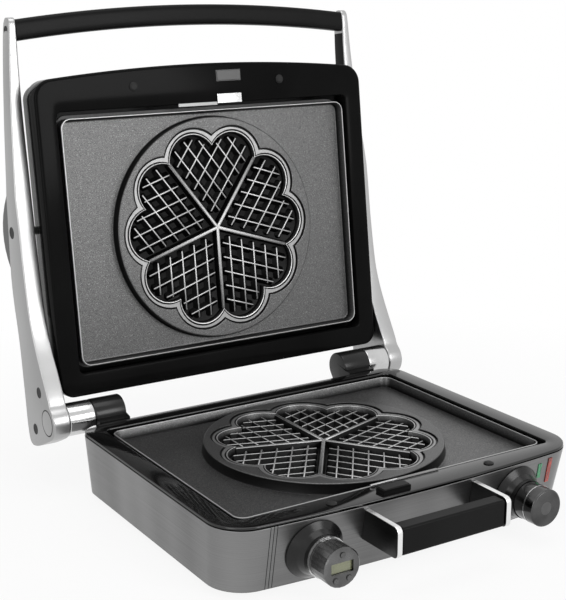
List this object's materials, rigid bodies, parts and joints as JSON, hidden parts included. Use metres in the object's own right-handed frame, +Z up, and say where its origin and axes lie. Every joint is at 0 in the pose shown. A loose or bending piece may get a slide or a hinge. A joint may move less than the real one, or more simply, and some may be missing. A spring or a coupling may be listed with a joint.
{
  "type": "heart waffle maker",
  "caption": "Countertop waffle maker: a steel base and a lid on two swinging arms, each with a removable plate holding a round mould of joined hearts.",
  "frame": {"origin": "on the surface it stands on, under the middle of the whole object's box", "axes": "+Z up, -Y towards the cook, +X to the cook's right"},
  "size_m": [0.41, 0.4534, 0.4508],
  "materials": {
    "brushed_steel": "vertical brushed, satin",
    "brushed_aluminium": "fine brushed, satin",
    "chrome": "bright polished",
    "gunmetal": "dark satin metallic",
    "gloss_black": "high gloss",
    "matte_black": "fine moulded satin",
    "coated_plate": "non-stick coated, fine speckle",
    "element_steel": "dull",
    "reflector_sheet": "mill finish",
    "pan_paint": "baked black",
    "foot_rubber": "matt",
    "display": "clear window over a liquid crystal",
    "green_lens": "translucent",
    "red_lens": "translucent",
    "soft_grey": "satin"
  },
  "bodies": {
    "base": {"base_pan": "pan_paint", "steel_wrap": "brushed_steel", "deck_frame": "gloss_black", "lower_plate": "coated_plate", "lower_element": "element_steel", "lower_reflector": "reflector_sheet", "thermostat": "soft_grey", "dial_collar": "gloss_black", "timer_collar": "gloss_black", "timer_ring": "chrome", "timer_body": "gunmetal", "timer_face": "brushed_aluminium", "timer_lens": "display", "ready_light": "green_lens", "power_light": "red_lens", "front_grip": "matte_black", "cord_gland": "matte_black", "foot_1": "foot_rubber", "foot_2": "foot_rubber", "foot_3": "foot_rubber", "foot_4": "foot_rubber", "handle_bracket_left": "brushed_aluminium", "handle_bracket_right": "brushed_aluminium", "hinge_tower_left": "gloss_black", "hinge_tower_right": "gloss_black", "hinge_collar_left": "chrome", "hinge_collar_right": "chrome", "hinge_pin_left": "brushed_aluminium", "hinge_pin_right": "brushed_aluminium", "deck_plug_left": "foot_rubber", "deck_plug_right": "foot_rubber"},
    "arms": {"top_handle": "matte_black", "arm_left": "brushed_aluminium", "arm_right": "brushed_aluminium", "arm_liner_left": "matte_black", "arm_liner_right": "matte_black", "arm_pad_left": "soft_grey", "arm_pad_right": "soft_grey", "pivot_pin_left": "element_steel", "pivot_pin_right": "element_steel", "handle_screw_left": "element_steel", "handle_screw_right": "element_steel"},
    "lid": {"lid_shell": "brushed_steel", "lid_frame": "gloss_black", "upper_plate": "coated_plate", "upper_element": "element_steel", "upper_reflector": "reflector_sheet", "lid_plug_left": "foot_rubber", "lid_plug_right": "foot_rubber"},
    "temperature_dial": {"temperature_knob": "gunmetal", "temperature_knob_ring": "chrome", "thermostat_shaft": "element_steel"},
    "timer_key_top_body": {"timer_key_top": "soft_grey"},
    "timer_key_left_body": {"timer_key_left": "soft_grey"},
    "timer_key_right_body": {"timer_key_right": "soft_grey"},
    "lower_button": {"lower_release_button": "matte_black"},
    "lower_catch_body": {"lower_catch": "chrome"},
    "upper_button": {"upper_release_button": "soft_grey"},
    "upper_catch_body": {"upper_catch": "chrome"}
  },
  "joints": [
    {"name": "lid_hinge", "type": "hinge", "parent": "base", "child": "arms", "pos_m": [0, 0.13088, 0.0675], "axis": [1, 0, 0], "range_deg": [0, 97.4]},
    {"name": "lid_float", "type": "hinge", "parent": "arms", "child": "lid", "pos_m": [0, 0.19869, 0.24021], "axis": [1, 0, 0], "range_deg": [-1.5, 0]},
    {"name": "temperature_turn", "type": "hinge", "parent": "base", "child": "temperature_dial", "pos_m": [0.11, -0.1937, 0.0345], "axis": [0, 1, 0], "range_deg": [0, 270]},
    {"name": "timer_key_top_press", "type": "slide", "parent": "base", "child": "timer_key_top_body", "axis": [0, 1, 0], "range_m": [0, 0.0007], "stiffness_N_per_m": 300},
    {"name": "timer_key_left_press", "type": "slide", "parent": "base", "child": "timer_key_left_body", "axis": [0, 1, 0], "range_m": [0, 0.0007], "stiffness_N_per_m": 300},
    {"name": "timer_key_right_press", "type": "slide", "parent": "base", "child": "timer_key_right_body", "axis": [0, 1, 0], "range_m": [0, 0.0007], "stiffness_N_per_m": 300},
    {"name": "lower_button_press", "type": "slide", "parent": "base", "child": "lower_button", "axis": [0, 0, -1], "range_m": [0, 0.0022], "stiffness_N_per_m": 400},
    {"name": "lower_catch_slide", "type": "slide", "parent": "base", "child": "lower_catch_body", "axis": [0, -1, 0], "range_m": [0, 0.0022], "stiffness_N_per_m": 200},
    {"name": "upper_button_press", "type": "slide", "parent": "lid", "child": "upper_button", "axis": [0, 0.9917, -0.1288], "range_m": [0, 0.0022], "stiffness_N_per_m": 400},
    {"name": "upper_catch_slide", "type": "slide", "parent": "lid", "child": "upper_catch_body", "axis": [0, 0.1288, 0.9917], "range_m": [0, 0.0022], "stiffness_N_per_m": 200}
  ],
  "couplings": [
    {"joint": "lower_catch_slide", "follows": "lower_button_press", "ratio": 1},
    {"joint": "upper_catch_slide", "follows": "upper_button_press", "ratio": 1}
  ]
}
